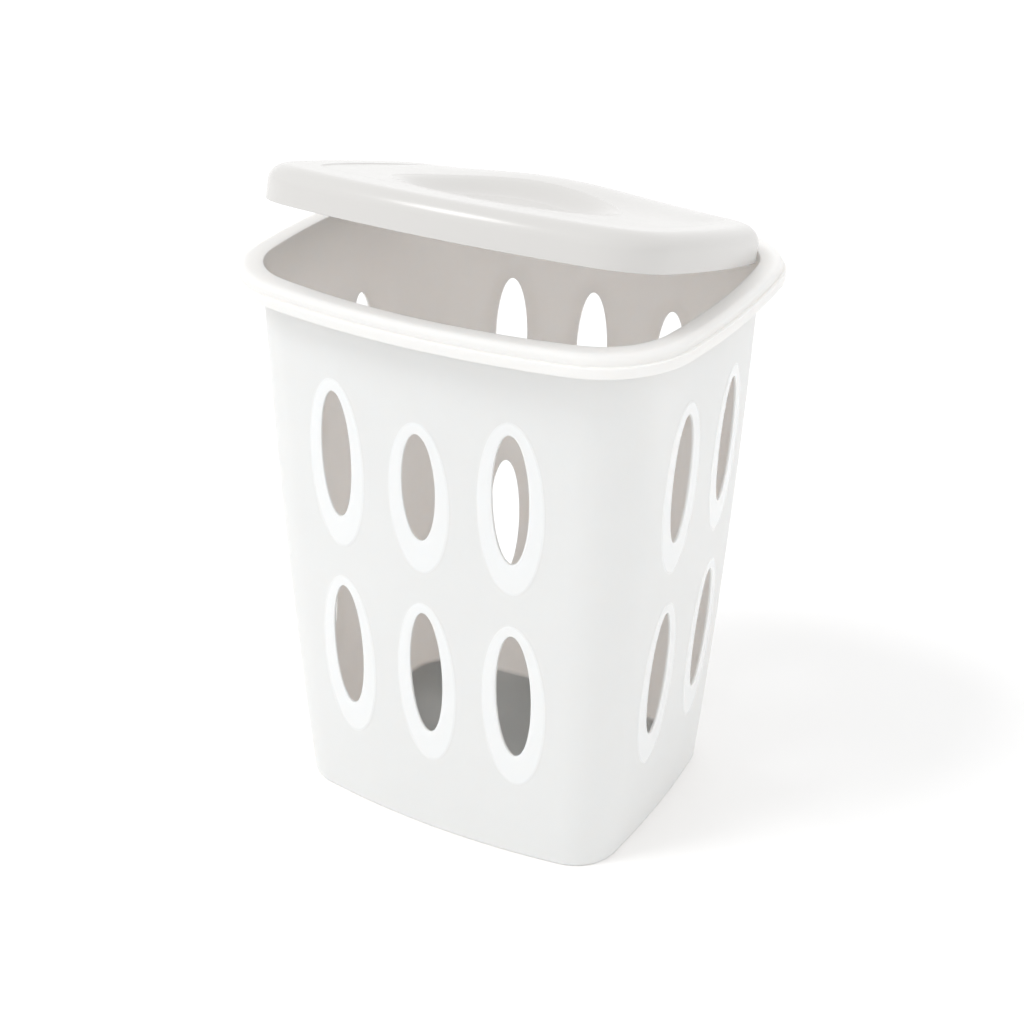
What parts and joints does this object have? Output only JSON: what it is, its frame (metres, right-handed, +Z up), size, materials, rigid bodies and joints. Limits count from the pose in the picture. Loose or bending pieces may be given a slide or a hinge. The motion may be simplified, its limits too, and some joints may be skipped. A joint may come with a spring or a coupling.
{
  "type": "laundry hamper with lid",
  "caption": "Tall tapered plastic laundry hamper with oval ventilation holes, a rolled rim and a drop-in lid hinged at the back.",
  "frame": {"origin": "centre of the base, on the surface the hamper stands on", "axes": "+Z up, +X along the long side, -Y towards the front where the lid opens, hinge along the back at +Y"},
  "size_m": [0.446, 0.3812, 0.6343],
  "materials": {
    "tub_plastic": "fine satin texture, smoother round the holes",
    "lid_plastic": "semi-gloss",
    "pin_plastic": "satin"
  },
  "bodies": {
    "tub": {"tub": "tub_plastic", "hinge_pin_left": "pin_plastic", "hinge_pin_right": "pin_plastic"},
    "lid": {"lid": "lid_plastic"}
  },
  "joints": [
    {"name": "lid_hinge", "type": "hinge", "parent": "tub", "child": "lid", "pos_m": [0, 0.167, 0.5447], "axis": [-1, 0, 0], "range_deg": [-14.8, 90.2]}
  ]
}
